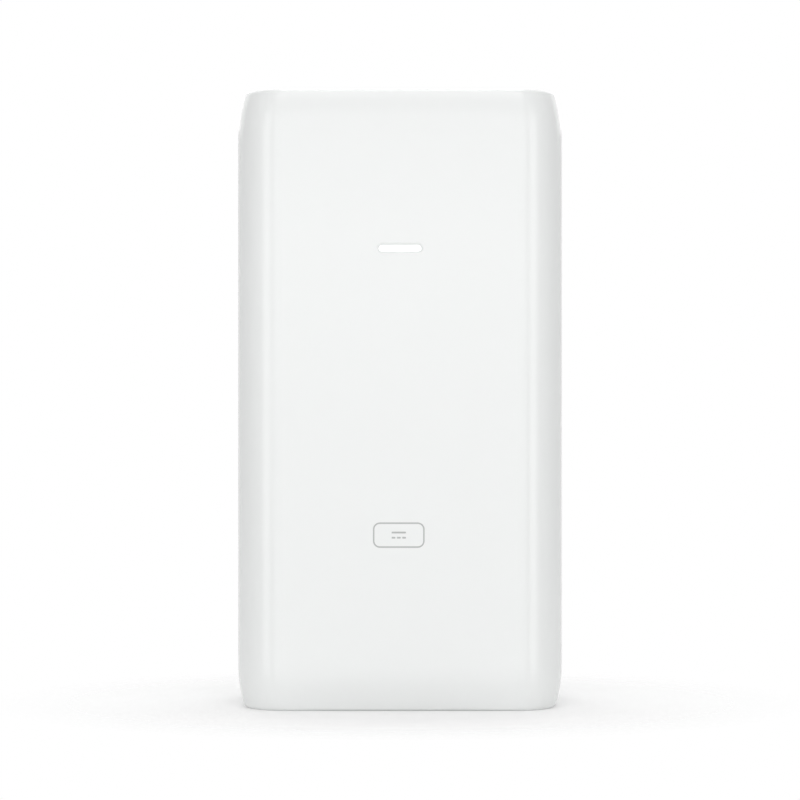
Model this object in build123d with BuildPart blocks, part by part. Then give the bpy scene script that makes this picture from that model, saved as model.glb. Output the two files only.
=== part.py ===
"""A small Power-over-Ethernet injector: mains in at the top end, two network jacks in the bottom end.

Frame in millimetres: +Z up the long axis, the front faces -Y, +X to the right of someone facing
the front. The origin is the middle of the bottom end, where the case stands.
"""

import os
from math import radians, tan

from build123d import *

os.makedirs("parts", exist_ok=True)

# ---------------------------------------------------------------- driving dimensions
# Case
case_width = 46.0
case_depth = 28.5
case_height = 87.2
corner_radius = 6.5
taper_length = 6.4          # the last stretch at each end, where every side is drawn in by an arc
taper_inset = 0.9
end_edge_radius = 0.6
wall = 2.0
seam_tongue_width = 0.9
seam_tongue_height = 1.2
seam_tongue_length = 58.0
seam_chamfer = 0.2
fit_gap = 0.1               # between pieces that are pushed together and don't move

# Wall bracket and the dovetail channel it slides in, open at the lower end of the case
channel_depth = 3.0
channel_width = 19.0        # at the channel's floor, where the dovetail is widest
channel_floor = 1.5
channel_top = 60.0
dovetail_angle = 22.0
bracket_length = 46.0
bracket_floor_gap = 0.3
bracket_side_gap = 0.25
bracket_stop_gap = 0.2
bracket_hole_spacing = 26.0
bracket_hole_radius = 2.1
bracket_sink_radius = 3.6
bracket_tongue_width = 7.0
bracket_tongue_length = 9.0
bracket_tongue_drop = 2.5
bracket_slit_width = 1.0
bracket_corner = 1.0

# Circuit board
board_thickness = 1.6
board_edge_gap = 0.7        # to the side walls
board_end_gap = 0.4         # to the end walls
solder_gap = 1.3            # behind the board
sheet_thickness = 0.25
sheet_margin = 1.5

# Screws and their bosses
boss_radius = 2.8
boss_x = 14.0
boss_edge_gap = 0.3
screw_radius = 1.2
screw_head_radius = 2.1
screw_head_height = 1.5
screw_head_edge = 0.5
screw_head_sink = 1.0       # how far the head lies below the back of the case
screw_length = 14.0
screw_hole_gap = 0.2
screw_thread_gap = 0.03
screw_pilot_spare = 1.5
screw_recess_width = 2.4    # across the flats of the hexagonal recess
screw_recess_depth = 0.8

# Network jacks
jack_width = 15.9
jack_height = 13.2
jack_depth = 18.0
jack_spacing = 17.5
jack_recess = 0.4           # behind the end of the case
shield_thickness = 0.25
shield_gap = 0.05
window_gap = 0.2
plug_width = 11.8
plug_height = 6.9
plug_depth = 13.4
plug_roof = 2.75            # from the jack's front side to the plug space
latch_width = 6.2
latch_height = 1.6
latch_slot_width = 3.4
latch_slot_height = 0.9
contact_count = 8
contact_pitch = 1.02
contact_wire = 0.35
contact_root_depth = 3.2    # from the jack's mouth to the bend that the contact turns about
contact_reach = 9.0
contact_drop = 2.5
contact_root_sink = 0.5     # the bend lies this far inside its slot
contact_hook_length = 0.7
contact_hook_rise = 0.9
contact_slot_width = 0.7
contact_slot_depth = 1.75
contact_slot_spare = 0.6

# Mains inlet
inlet_wall = 0.9
inlet_base_wall = 0.8
inlet_lobe_radius = 3.1
inlet_neck_radius = 2.4
inlet_pin_pitch = 10.0
inlet_earth_offset = 6.0
inlet_cavity_depth = 13.0
inlet_floor = 3.0
inlet_recess = 0.3
inlet_pin_radius = 1.2
inlet_pin_edge = 0.6
inlet_pin_sink = 2.0        # pin ends lie this far inside the mouth
inlet_pin_stub = 1.2
inlet_pin_gap = 0.03
inlet_flange_width = 1.2
inlet_flange_thickness = 2.0

# Light pipe and LED
slot_below_inlet = 4.85     # from the ends of the inlet's pins down to the slot's middle
slot_width = 6.1            # inside its eased edge
slot_height = 1.05
slot_edge_radius = 0.32
pipe_gap = 0.02
pipe_sink = 0.35            # face of the pipe behind the face of the case
pipe_flange_width = 8.6
pipe_flange_height = 3.0
pipe_flange_thickness = 1.0
pipe_end_width = 3.4
pipe_end_height = 2.0
led_width = 3.2
led_height = 1.6
led_thickness = 0.8
led_edge = 0.15
led_gap = 0.3

# Rating label
label_width = 20.0
label_height = 12.5
label_thickness = 0.12
label_sink = 0.15
label_corner = 1.0

# Parts on the board: width along X, length along Z, height off the board
block_edge = 0.3
can_rim = 0.35
can_groove_low = 1.2        # from the board to the rolled groove
can_groove_width = 0.9
can_groove_depth = 0.35
line_transformer_size = (12.7, 7.1, 5.9)
controller_size = (5.0, 5.0, 0.9)
output_capacitor_radius = 4.0
output_capacitor_height = 11.5
output_rectifier_size = (7.1, 6.0, 2.3)
optocoupler_size = (6.5, 4.6, 3.5)
bulk_capacitor_radius = 5.0
bulk_capacitor_height = 14.0
bridge_size = (8.4, 6.2, 2.6)
disc_capacitor_radius = 4.0
disc_capacitor_thickness = 3.4
varistor_radius = 3.5
varistor_thickness = 3.8
disc_lead_length = 1.0
disc_lead_width = 0.6
disc_edge_radius = 0.85
x_capacitor_size = (4.4, 10.0, 9.5)
fuse_size = (3.9, 8.4, 7.5)
leg_reach = 0.9
leg_thickness = 0.2
leg_width = 0.5
leg_foot = 0.5
rectifier_tab = 2.9
choke_core_radius = 3.7
choke_hole_radius = 2.2
choke_core_height = 3.6
choke_core_edge = 0.4
choke_winding = 0.7
choke_winding_arc = 130.0
heat_sink_thickness = 1.2
heat_sink_length = 12.5
heat_sink_height = 13.0
transistor_size = (3.2, 8.0, 9.5)
transistor_lift = 2.5
transistor_lead_width = 0.7
transistor_lead_pitch = 2.3
row_gap = 0.4               # least space between a row of parts and what stands beside it

# Transformer: a two-window core around a wound bobbin
core_width = 16.5
core_length = 13.0
core_thickness = 4.6
core_leg = 2.3
core_yoke = 2.4
bobbin_wall = 0.8
bobbin_gap = 0.15
bobbin_rail_height = 1.6
bobbin_rail_width = 2.4
winding_height = 11.4
winding_inset = 0.2
winding_corner = 1.6

# Chip parts on the back of the board
chip_size = (1.6, 0.8, 0.5)
chip_columns = 3
chip_rows = 5
chip_pitch_x = 6.0
chip_pitch_z = 6.5

# ---------------------------------------------------------------- places worked out from them
front_y = -case_depth / 2
back_y = case_depth / 2
cavity_width = case_width - 2 * wall
cavity_depth = case_depth - 2 * wall
cavity_height = case_height - 2 * wall
channel_floor_y = back_y - channel_depth
channel_inner_y = channel_floor_y - channel_floor
board_back_y = channel_inner_y - solder_gap
board_front_y = board_back_y - board_thickness
seam_y = board_front_y + window_gap

board_width = cavity_width - 2 * board_edge_gap
board_low = wall + board_end_gap
board_high = case_height - wall - board_end_gap
jack_top = jack_recess + jack_depth
boss_low_z = jack_top + row_gap + boss_radius
boss_high_z = board_high - boss_radius - boss_edge_gap
boss_places = [(x, z) for x in (-boss_x, boss_x) for z in (boss_low_z, boss_high_z)]

inlet_width = inlet_pin_pitch + 2 * (inlet_lobe_radius + inlet_wall)
inlet_height = inlet_earth_offset + 2 * inlet_lobe_radius + 2 * inlet_base_wall
inlet_top = case_height - inlet_recess
inlet_low = inlet_top - inlet_cavity_depth - inlet_floor
jack_places = {"data_port": -jack_spacing / 2, "power_port": jack_spacing / 2}
label_z = (channel_top + channel_floor + case_height - taper_length) / 2
slot_z = inlet_low - inlet_pin_stub - slot_below_inlet
inlet_line_y = board_front_y - inlet_base_wall - inlet_lobe_radius
inlet_earth_y = inlet_line_y - inlet_earth_offset

# Upright planes that face the front: X to the right, Y up the case, out of the plane towards -Y
board_face = Plane.XZ.offset(-board_front_y)
board_back = Plane.XZ.offset(-board_back_y)
seam = Plane.XZ.offset(-seam_y)


def spread(lengths, low, high):
    """Middles of a row of parts, with one gap between them and at both ends."""
    gap = (high - low - sum(lengths)) / (len(lengths) + 1)
    middles = []
    edge = low
    for length in lengths:
        middles.append(edge + gap + length / 2)
        edge += gap + length
    return middles


# Rows across the board. The lowest stands between the lower bosses, the highest beside the inlet.
pipe_low = slot_z - pipe_flange_height / 2 - row_gap
pipe_high = slot_z + pipe_flange_height / 2 + row_gap
line_z = jack_top + row_gap + line_transformer_size[1] / 2
row_low = row_gap + max(boss_low_z + boss_radius, line_z + line_transformer_size[1] / 2)
half_board = board_width / 2
between_bosses = boss_x - boss_radius - row_gap
transistor_group_width = heat_sink_thickness + transistor_size[0]

row_lengths = (2 * output_capacitor_radius, core_length, bridge_size[1])
output_z, power_z, mains_z = spread(row_lengths, row_low, pipe_low)
both_legs = 2 * leg_reach
line_widths = (line_transformer_size[0] + both_legs, controller_size[0])
line_transformer_x, controller_x = spread(line_widths, -between_bosses, between_bosses)
output_widths = (
    2 * output_capacitor_radius,
    2 * output_capacitor_radius,
    output_rectifier_size[0] + both_legs,
    optocoupler_size[0] + both_legs,
)
capacitor_a_x, capacitor_b_x, rectifier_x, optocoupler_x = spread(output_widths, -half_board, half_board)
power_widths = (2 * bulk_capacitor_radius, core_width, transistor_group_width)
bulk_x, transformer_x, transistor_group_x = spread(power_widths, -half_board, half_board)
mains_widths = (bridge_size[0] + both_legs, 2 * disc_capacitor_radius, 2 * varistor_radius)
bridge_x, disc_capacitor_x, varistor_x = spread(mains_widths, -half_board, half_board)

beside_inlet = inlet_width / 2 + row_gap
below_boss = boss_high_z - boss_radius - row_gap
fuse_x, x_capacitor_x = spread((fuse_size[0], x_capacitor_size[0]), -half_board, -beside_inlet)
inlet_side_x = (beside_inlet + half_board) / 2
inlet_side_z = (pipe_high + below_boss) / 2


def write(piece, name):
    """Label a finished piece and write it as its own file."""
    piece.label = name
    export_step(piece, f"parts/{name}.step")


# ---------------------------------------------------------------- case
def case_outline(width):
    """The case seen square on to one side: straight flanks that arcs draw in towards both ends."""
    half = width / 2
    with BuildSketch() as outline:
        with BuildLine():
            side = Line((half, taper_length), (half, case_height - taper_length))
            lower = TangentArc(side @ 0, (half - taper_inset, 0), tangent=(0, -1))
            upper = TangentArc(side @ 1, (half - taper_inset, case_height), tangent=(0, 1))
            Line(lower @ 1, (0, 0))
            Line(upper @ 1, (0, case_height))
            mirror(about=Plane.YZ)
        make_face()
    return outline.sketch


with BuildPart() as case_form:
    with BuildSketch(Plane.XZ):
        add(case_outline(case_width))
    extrude(amount=case_depth / 2, both=True)
    with BuildSketch(Plane.YZ):
        add(case_outline(case_depth))
    extrude(amount=case_width / 2, both=True, mode=Mode.INTERSECT)
    upright = case_form.edges().filter_by(lambda edge: edge.bounding_box().size.Z > taper_length / 2)
    fillet(upright, corner_radius)
    fillet(case_form.faces().filter_by(Axis.Z).edges(), end_edge_radius)

with BuildPart() as cavity:
    with BuildSketch(Plane.XY.offset(wall)):
        RectangleRounded(cavity_width, cavity_depth, corner_radius - wall)
    extrude(amount=cavity_height)

# Front shell: a deep tray, with the notches for the jacks and the inlet open at the seam
front_inner_y = front_y + wall
screw_seat_y = back_y - screw_head_sink - screw_head_height
screw_end_y = screw_seat_y - screw_length
tongue_x = cavity_width / 2
notch_low_y = board_front_y - jack_height - window_gap
inlet_notch_y = board_front_y - inlet_height - window_gap

with BuildPart() as front_shell:
    add(case_form.part)
    split(bisect_by=seam, keep=Keep.TOP)
    chamfer(front_shell.faces().sort_by(Axis.Y)[-1].edges(), seam_chamfer)
    add(cavity.part, mode=Mode.SUBTRACT)
    with BuildSketch(board_face):
        with Locations(*boss_places):
            Circle(boss_radius)
    extrude(amount=board_front_y - front_inner_y)
    with BuildSketch(board_face):
        with Locations(*boss_places):
            Circle(screw_radius + screw_thread_gap)
    extrude(amount=board_front_y - screw_end_y + screw_pilot_spare, mode=Mode.SUBTRACT)
    with BuildSketch(Plane.XY):
        with Locations(*[(x, (notch_low_y + seam_y) / 2) for x in jack_places.values()]):
            Rectangle(jack_width + 2 * window_gap, seam_y - notch_low_y)
    extrude(amount=wall, mode=Mode.SUBTRACT)
    with BuildSketch(Plane.XY.offset(case_height - wall)):
        with Locations((0, (inlet_notch_y + seam_y) / 2)):
            Rectangle(inlet_width + 2 * window_gap, seam_y - inlet_notch_y)
    extrude(amount=wall, mode=Mode.SUBTRACT)
    with BuildSketch(Plane.XZ.offset(-front_inner_y)):
        with Locations((0, slot_z)):
            SlotOverall(slot_width, slot_height)
    extrude(amount=wall, mode=Mode.SUBTRACT)
    slot_rim = front_shell.faces().sort_by(Axis.Y)[0].inner_wires().edges()
    fillet(slot_rim, slot_edge_radius)
    with BuildSketch(seam):
        with Locations((-tongue_x, case_height / 2), (tongue_x, case_height / 2)):
            Rectangle(2 * (seam_tongue_width + fit_gap), seam_tongue_length + 2 * fit_gap)
    extrude(amount=seam_tongue_height + fit_gap, mode=Mode.SUBTRACT)
write(front_shell.part, "front_shell")

# Rear shell: a shallow lid, sunk for the bracket's dovetail channel, with two tongues along the seam
channel_slope = tan(radians(dovetail_angle))


def dovetail(width, low_y, high_y):
    """Section of a dovetail: its full width at low_y, narrower towards high_y."""
    narrowing = 2 * (high_y - low_y) * channel_slope
    return Polyline(
        (-width / 2, low_y), (width / 2, low_y),
        (width / 2 - narrowing / 2, high_y), (-width / 2 + narrowing / 2, high_y),
        close=True,
    )


with BuildPart() as lid_hollow:
    add(cavity.part)
    with BuildSketch(Plane.XY):
        with Locations((0, (channel_inner_y + back_y) / 2)):
            Rectangle(channel_width + 2 * channel_floor, back_y - channel_inner_y)
    extrude(amount=channel_top + channel_floor, mode=Mode.SUBTRACT)

with BuildPart() as rear_shell:
    add(case_form.part)
    split(bisect_by=seam, keep=Keep.BOTTOM)
    chamfer(rear_shell.faces().sort_by(Axis.Y)[0].edges(), seam_chamfer)
    add(lid_hollow.part, mode=Mode.SUBTRACT)
    with BuildSketch(board_back):
        with Locations(*boss_places):
            Circle(boss_radius)
    extrude(amount=-(back_y - wall - board_back_y))
    with BuildSketch(board_back):
        with Locations(*boss_places):
            Circle(screw_radius + screw_hole_gap)
    extrude(amount=-(back_y - board_back_y), mode=Mode.SUBTRACT)
    with BuildSketch(Plane.XZ.offset(-screw_seat_y)):
        with Locations(*boss_places):
            Circle(screw_head_radius + screw_hole_gap)
    extrude(amount=-(back_y - screw_seat_y), mode=Mode.SUBTRACT)
    with BuildSketch(Plane.XY):
        with BuildLine():
            dovetail(channel_width, channel_floor_y, back_y)
        make_face()
    extrude(amount=channel_top, mode=Mode.SUBTRACT)
    with BuildSketch(Plane.XZ.offset(-back_y)):
        with Locations((0, label_z)):
            RectangleRounded(label_width + 2 * fit_gap, label_height + 2 * fit_gap, label_corner)
    extrude(amount=label_sink, mode=Mode.SUBTRACT)
    with BuildSketch(seam):
        with Locations((-tongue_x - seam_tongue_width / 2, case_height / 2),
                       (tongue_x + seam_tongue_width / 2, case_height / 2)):
            Rectangle(seam_tongue_width, seam_tongue_length)
    extrude(amount=seam_tongue_height)
write(rear_shell.part, "rear_shell")

# Case screws: pan heads with a hexagonal recess, down through the lid and the board into the bosses
with BuildPart() as case_screws:
    with BuildSketch(Plane.XZ.offset(-screw_seat_y)):
        with Locations(*boss_places):
            Circle(screw_head_radius)
    extrude(amount=-screw_head_height)
    heads = case_screws.faces().sort_by(Axis.Y)[-len(boss_places):]
    fillet(heads.edges(), screw_head_edge)
    with BuildSketch(Plane.XZ.offset(-(screw_seat_y + screw_head_height))):
        with Locations(*boss_places):
            RegularPolygon(screw_recess_width / 2, 6, major_radius=False)
    extrude(amount=screw_recess_depth, mode=Mode.SUBTRACT)
    with BuildSketch(Plane.XZ.offset(-screw_seat_y)):
        with Locations(*boss_places):
            Circle(screw_radius)
    extrude(amount=screw_length)
write(case_screws.part, "case_screws")

# Rating label: a thin blank foil in a shallow bed
with BuildPart() as rating_label:
    with BuildSketch(Plane.XZ.offset(-(back_y - label_sink))):
        with Locations((0, label_z)):
            RectangleRounded(label_width, label_height, label_corner)
    extrude(amount=-label_thickness)
write(rating_label.part, "rating_label")

# Wall bracket: a dovetail plate with two countersunk holes and a springy release tongue at its lower end
bracket_inner_y = channel_floor_y + bracket_floor_gap
bracket_top = channel_top - bracket_stop_gap
bracket_low = bracket_top - bracket_length
bracket_hole_z = (bracket_top + bracket_low + bracket_tongue_length) / 2
bracket_width = channel_width - 2 * bracket_side_gap - 2 * bracket_floor_gap * channel_slope
tongue_side = bracket_tongue_width / 2 + bracket_slit_width / 2

with BuildPart() as wall_bracket:
    with BuildSketch(Plane.XY.offset(bracket_low)):
        with BuildLine():
            dovetail(bracket_width, bracket_inner_y, back_y)
        make_face()
    extrude(amount=bracket_length)
    top_corners = wall_bracket.faces().sort_by(Axis.Z)[-1].edges().filter_by(Axis.X, reverse=True)
    chamfer(top_corners, bracket_corner)
    with Locations(*[
        Plane.XZ.offset(-bracket_inner_y) * Pos(0, bracket_hole_z + side * bracket_hole_spacing / 2)
        for side in (-1, 1)
    ]):
        CounterSinkHole(bracket_hole_radius, bracket_sink_radius)
    with BuildSketch(Plane.XZ.offset(-bracket_inner_y)):
        with Locations(*[
            (side * tongue_side, bracket_low + bracket_tongue_length / 2) for side in (-1, 1)
        ]):
            Rectangle(bracket_slit_width, bracket_tongue_length)
    extrude(amount=-(back_y - bracket_inner_y), mode=Mode.SUBTRACT)
    with BuildSketch(Plane.XZ.offset(-bracket_inner_y)):
        with Locations((0, bracket_low - bracket_tongue_drop / 2)):
            Rectangle(bracket_tongue_width, bracket_tongue_drop)
    extrude(amount=-(back_y - bracket_inner_y))
write(wall_bracket.part, "wall_bracket")

# Light pipe: a lens in the slot, a flange behind the wall and a stem that narrows towards the LED
pipe_end_y = board_front_y - led_thickness - led_gap
pipe_flange_y = front_inner_y + pipe_flange_thickness

with BuildPart() as light_pipe:
    with BuildSketch(Plane.XZ.offset(-front_inner_y)):
        with Locations((0, slot_z)):
            SlotOverall(slot_width - 2 * pipe_gap, slot_height - 2 * pipe_gap)
    extrude(amount=wall - pipe_sink)
    with BuildSketch(Plane.XZ.offset(-front_inner_y)):
        with Locations((0, slot_z)):
            Rectangle(pipe_flange_width, pipe_flange_height)
    extrude(amount=-pipe_flange_thickness)
    with BuildSketch(Plane.XZ.offset(-pipe_flange_y)):
        with Locations((0, slot_z)):
            Rectangle(slot_width, pipe_end_height)
    with BuildSketch(Plane.XZ.offset(-pipe_end_y)):
        with Locations((0, slot_z)):
            Rectangle(pipe_end_width, pipe_end_height)
    loft()
write(light_pipe.part, "light_pipe")

# ---------------------------------------------------------------- board and what holds it apart
with BuildPart() as main_board:
    with BuildSketch(board_face):
        with Locations((0, (board_low + board_high) / 2)):
            Rectangle(board_width, board_high - board_low)
        with Locations(*boss_places):
            Circle(screw_radius + screw_hole_gap, mode=Mode.SUBTRACT)
    extrude(amount=-board_thickness)
write(main_board.part, "main_board")

sheet_top = channel_top + channel_floor - sheet_margin

with BuildPart() as insulating_sheet:
    with BuildSketch(Plane.XZ.offset(-channel_inner_y)):
        with Locations((0, (wall + sheet_margin + sheet_top) / 2)):
            Rectangle(channel_width + 2 * channel_floor - sheet_margin, sheet_top - wall - sheet_margin)
    extrude(amount=sheet_thickness)
write(insulating_sheet.part, "insulating_sheet")


# ---------------------------------------------------------------- network jacks
mouth_z = jack_recess
jack_low_y = board_front_y - jack_height
plug_low_y = jack_low_y + plug_roof
plug_high_y = plug_low_y + plug_height
housing_gap = shield_thickness + shield_gap
contact_root = (plug_low_y - contact_root_sink, mouth_z + contact_root_depth)
contact_slot_low = contact_root[1] - contact_slot_spare
contact_slot_high = contact_root[1] + contact_reach + contact_hook_length + contact_slot_spare


def plug_section(jack_x):
    """The plug's space seen into the mouth, with the stepped slot for its latch on the board's side."""
    with Locations((jack_x, (plug_low_y + plug_high_y) / 2)):
        Rectangle(plug_width, plug_height)
    with Locations((jack_x, plug_high_y + latch_height / 2)):
        Rectangle(latch_width, latch_height)
    with Locations((jack_x, plug_high_y + latch_height + latch_slot_height / 2)):
        Rectangle(latch_slot_width, latch_slot_height)


def jack_housing(jack_x):
    """Moulded block: the plug's space, and a comb of slots in its roof for the contacts."""
    with BuildPart() as housing:
        with BuildSketch(Plane.XY.offset(mouth_z + housing_gap)):
            with Locations((jack_x, (jack_low_y + housing_gap + board_front_y) / 2)):
                Rectangle(jack_width - 2 * housing_gap, jack_height - housing_gap)
        extrude(amount=jack_depth - 2 * housing_gap)
        with BuildSketch(Plane.XY.offset(mouth_z + housing_gap)):
            plug_section(jack_x)
        extrude(amount=plug_depth - housing_gap, mode=Mode.SUBTRACT)
        with BuildSketch(Plane.XZ.offset(-plug_low_y)):
            with Locations((jack_x, (contact_slot_low + contact_slot_high) / 2)):
                with GridLocations(contact_pitch, 0, contact_count, 1):
                    Rectangle(contact_slot_width, contact_slot_high - contact_slot_low)
        extrude(amount=contact_slot_depth, mode=Mode.SUBTRACT)
    return housing.part


def jack_shield(jack_x):
    """Folded steel around the block, open towards the board, with the plug's opening in its front."""
    with BuildPart() as shield:
        with BuildSketch(Plane.XY.offset(mouth_z)):
            with Locations((jack_x, (jack_low_y + board_front_y) / 2)):
                Rectangle(jack_width, jack_height)
        extrude(amount=jack_depth)
        with BuildSketch(Plane.XY.offset(mouth_z + shield_thickness)):
            with Locations((jack_x, (jack_low_y + shield_thickness + board_front_y) / 2)):
                Rectangle(jack_width - 2 * shield_thickness, jack_height - shield_thickness)
        extrude(amount=jack_depth - 2 * shield_thickness, mode=Mode.SUBTRACT)
        with BuildSketch(Plane.XY.offset(mouth_z)):
            plug_section(jack_x)
        extrude(amount=shield_thickness, mode=Mode.SUBTRACT)
    return shield.part


def jack_contacts(jack_x):
    """Eight spring wires, sloping into the plug's space, each with a hook that stays in its slot."""
    tip = (contact_root[0] + contact_drop, contact_root[1] + contact_reach)
    hook = (tip[0] - contact_hook_rise, tip[1] + contact_hook_length)
    with BuildPart() as contacts:
        with BuildSketch(Plane.YZ.offset(jack_x)) as wire:
            with BuildLine():
                Polyline(contact_root, tip, hook)
            trace(line_width=contact_wire)
        for number in range(contact_count):
            shift = (number - (contact_count - 1) / 2) * contact_pitch
            extrude(Pos(shift, 0, 0) * wire.sketch, amount=contact_wire / 2, both=True)
    return contacts.part


for jack_name, jack_x in jack_places.items():
    write(jack_housing(jack_x), f"{jack_name}_housing")
    write(jack_shield(jack_x), f"{jack_name}_shield")
    write(jack_contacts(jack_x), f"{jack_name}_contacts")

# ---------------------------------------------------------------- mains inlet
inlet_centres = [
    (-inlet_pin_pitch / 2, inlet_line_y),
    (inlet_pin_pitch / 2, inlet_line_y),
    (0, inlet_earth_y),
]

inlet_middle_y = board_front_y - inlet_height / 2
flange_depth = inlet_height + inlet_flange_width

with BuildPart() as inlet_housing:
    with BuildSketch(Plane.XY.offset(inlet_low)):
        with Locations((0, inlet_middle_y)):
            Rectangle(inlet_width, inlet_height)
    extrude(amount=inlet_top - inlet_low)
    # flange that the end wall of the case holds
    with BuildSketch(Plane.XY.offset(case_height - wall - fit_gap)):
        with Locations((0, board_front_y - flange_depth / 2)):
            Rectangle(inlet_width + 2 * inlet_flange_width, flange_depth)
    extrude(amount=-inlet_flange_thickness)
    with BuildSketch(Plane.XY.offset(inlet_top)):
        with Locations(*inlet_centres):
            Circle(inlet_neck_radius)
        make_hull()
        with Locations(*inlet_centres):
            Circle(inlet_lobe_radius)
    extrude(amount=-inlet_cavity_depth, mode=Mode.SUBTRACT)
    with BuildSketch(Plane.XY.offset(inlet_low)):
        with Locations(*inlet_centres):
            Circle(inlet_pin_radius + inlet_pin_gap)
    extrude(amount=inlet_floor, mode=Mode.SUBTRACT)
write(inlet_housing.part, "inlet_housing")

with BuildPart() as inlet_pins:
    with BuildSketch(Plane.XY.offset(inlet_low - inlet_pin_stub)):
        with Locations(*inlet_centres):
            Circle(inlet_pin_radius)
    extrude(amount=inlet_top - inlet_pin_sink - inlet_low + inlet_pin_stub)
    tips = inlet_pins.faces().filter_by(Axis.Z).sort_by(Axis.Z)[-len(inlet_centres):]
    fillet(tips.edges(), inlet_pin_edge)
write(inlet_pins.part, "inlet_pins")


# ---------------------------------------------------------------- parts on the board
def boxed_part(size, x, z, edge=block_edge):
    """A moulded block standing on the board, its outer edges eased."""
    with BuildPart() as block:
        with BuildSketch(board_face):
            with Locations((x, z)):
                Rectangle(size[0], size[1])
        extrude(amount=size[2])
        chamfer(block.faces().sort_by(Axis.Y)[0].edges(), edge)
    return block.part


def legged_part(size, x, z, legs, width):
    """A moulded block with bent legs out of its left and right sides, down to the board."""
    knee = size[0] / 2 + leg_reach - leg_foot
    leg_corners = [
        (size[0] / 2, size[2] / 2), (knee + leg_thickness, size[2] / 2),
        (knee + leg_thickness, leg_thickness), (knee + leg_foot, leg_thickness),
        (knee + leg_foot, 0), (knee, 0),
        (knee, size[2] / 2 - leg_thickness), (size[0] / 2, size[2] / 2 - leg_thickness),
    ]
    with BuildPart() as block:
        add(boxed_part(size, x, z))
        for side in (-1, 1):
            corners = [(x + side * out, board_front_y - up) for out, up in leg_corners]
            with BuildSketch(Plane.XY.offset(z)) as leg_profile:
                with BuildLine():
                    Polyline(*corners, close=True)
                make_face()
            for number in range(legs):
                shift = (number - (legs - 1) / 2) * size[1] / legs
                extrude(Pos(0, 0, shift) * leg_profile.sketch, amount=width / 2, both=True)
    return block.part


def can_capacitor(places, radius, height):
    """Aluminium cans standing on the board, with the rolled groove near the foot and an eased rim."""
    profile_corners = [
        (0, 0), (radius, 0), (radius, can_groove_low),
        (radius - can_groove_depth, can_groove_low + can_groove_width / 2),
        (radius, can_groove_low + can_groove_width), (radius, height - can_rim),
        (radius - can_rim, height), (0, height),
    ]
    with BuildPart() as cans:
        for x, z in places:
            with BuildSketch(Plane(origin=(x, board_front_y, z), x_dir=(1, 0, 0), z_dir=(0, 0, -1))):
                with BuildLine():
                    Polyline(*profile_corners, close=True)
                make_face()
            revolve(axis=Axis((x, board_front_y, z), (0, 1, 0)))
    return cans.part


def disc_part(x, z, radius, thickness):
    """A dipped disc standing on edge on two leads."""
    centre_y = board_front_y - disc_lead_length - radius
    with BuildPart() as disc:
        with BuildSketch(Plane.XY.offset(z - thickness / 2)):
            with Locations((x, centre_y)):
                Circle(radius)
        extrude(amount=thickness)
        fillet(disc.faces().filter_by(Axis.Z).edges(), disc_edge_radius)
        with BuildSketch(board_face):
            with Locations((x - radius / 2, z), (x + radius / 2, z)):
                Rectangle(disc_lead_width, disc_lead_width)
        extrude(amount=disc_lead_length + radius / 2)
    return disc.part


write(legged_part(line_transformer_size, line_transformer_x, line_z, 5, leg_width), "line_transformer")
write(boxed_part(controller_size, controller_x, line_z), "port_controller")
write(legged_part(output_rectifier_size, rectifier_x, output_z, 1, rectifier_tab), "output_rectifier")
write(legged_part(optocoupler_size, optocoupler_x, output_z, 2, leg_width), "optocoupler")
write(legged_part(bridge_size, bridge_x, mains_z, 2, leg_width), "bridge_rectifier")
write(boxed_part(fuse_size, fuse_x, inlet_side_z), "fuse")
write(boxed_part(x_capacitor_size, x_capacitor_x, inlet_side_z), "x_capacitor")
write(boxed_part((led_width, led_height, led_thickness), 0, slot_z, led_edge), "status_led")
output_places = [(capacitor_a_x, output_z), (capacitor_b_x, output_z)]
output_cans = can_capacitor(output_places, output_capacitor_radius, output_capacitor_height)
write(output_cans, "output_capacitors")
write(can_capacitor([(bulk_x, power_z)], bulk_capacitor_radius, bulk_capacitor_height), "bulk_capacitor")
y_disc = disc_part(disc_capacitor_x, mains_z, disc_capacitor_radius, disc_capacitor_thickness)
write(y_disc, "y_capacitor")
write(disc_part(varistor_x, mains_z, varistor_radius, varistor_thickness), "varistor")

# Common-mode choke: a ferrite ring with two windings that hold it off the board
choke_axis = Axis((inlet_side_x, board_front_y, inlet_side_z), (0, 1, 0))
winding_gap = fit_gap / 2
choke_foot = choke_winding + winding_gap
choke_ring_width = choke_core_radius - choke_hole_radius
choke_ring_radius = (choke_core_radius + choke_hole_radius) / 2


def choke_half_plane(angle):
    """Plane through the choke's axis: X outwards at an angle about it, Y off the board."""
    outwards = Vector(1, 0, 0).rotate(Axis.Y, angle)
    normal = Vector(0, 0, -1).rotate(Axis.Y, angle)
    return Plane(choke_axis.position, x_dir=outwards, z_dir=normal)


with BuildPart() as choke_core:
    with BuildSketch(choke_half_plane(0)):
        with Locations((choke_ring_radius, choke_foot + choke_core_height / 2)):
            RectangleRounded(choke_ring_width, choke_core_height, choke_core_edge)
    revolve(axis=choke_axis)
write(choke_core.part, "choke_core")

with BuildPart() as choke_windings:
    for start_angle in (-choke_winding_arc / 2, 180 - choke_winding_arc / 2):
        with BuildSketch(choke_half_plane(start_angle)):
            with Locations((choke_ring_radius, choke_foot + choke_core_height / 2)):
                RectangleRounded(
                    choke_ring_width + 2 * choke_foot, choke_core_height + 2 * choke_foot, choke_foot
                )
                Rectangle(
                    choke_ring_width + 2 * winding_gap, choke_core_height + 2 * winding_gap,
                    mode=Mode.SUBTRACT,
                )
        revolve(axis=choke_axis, revolution_arc=choke_winding_arc)
write(choke_windings.part, "choke_windings")

# Switching transistor on its heat sink, a plate whose top is bent over the transistor
plate_x = transistor_group_x - transistor_group_width / 2 + heat_sink_thickness / 2
transistor_x = plate_x + (heat_sink_thickness + transistor_size[0]) / 2

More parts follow.
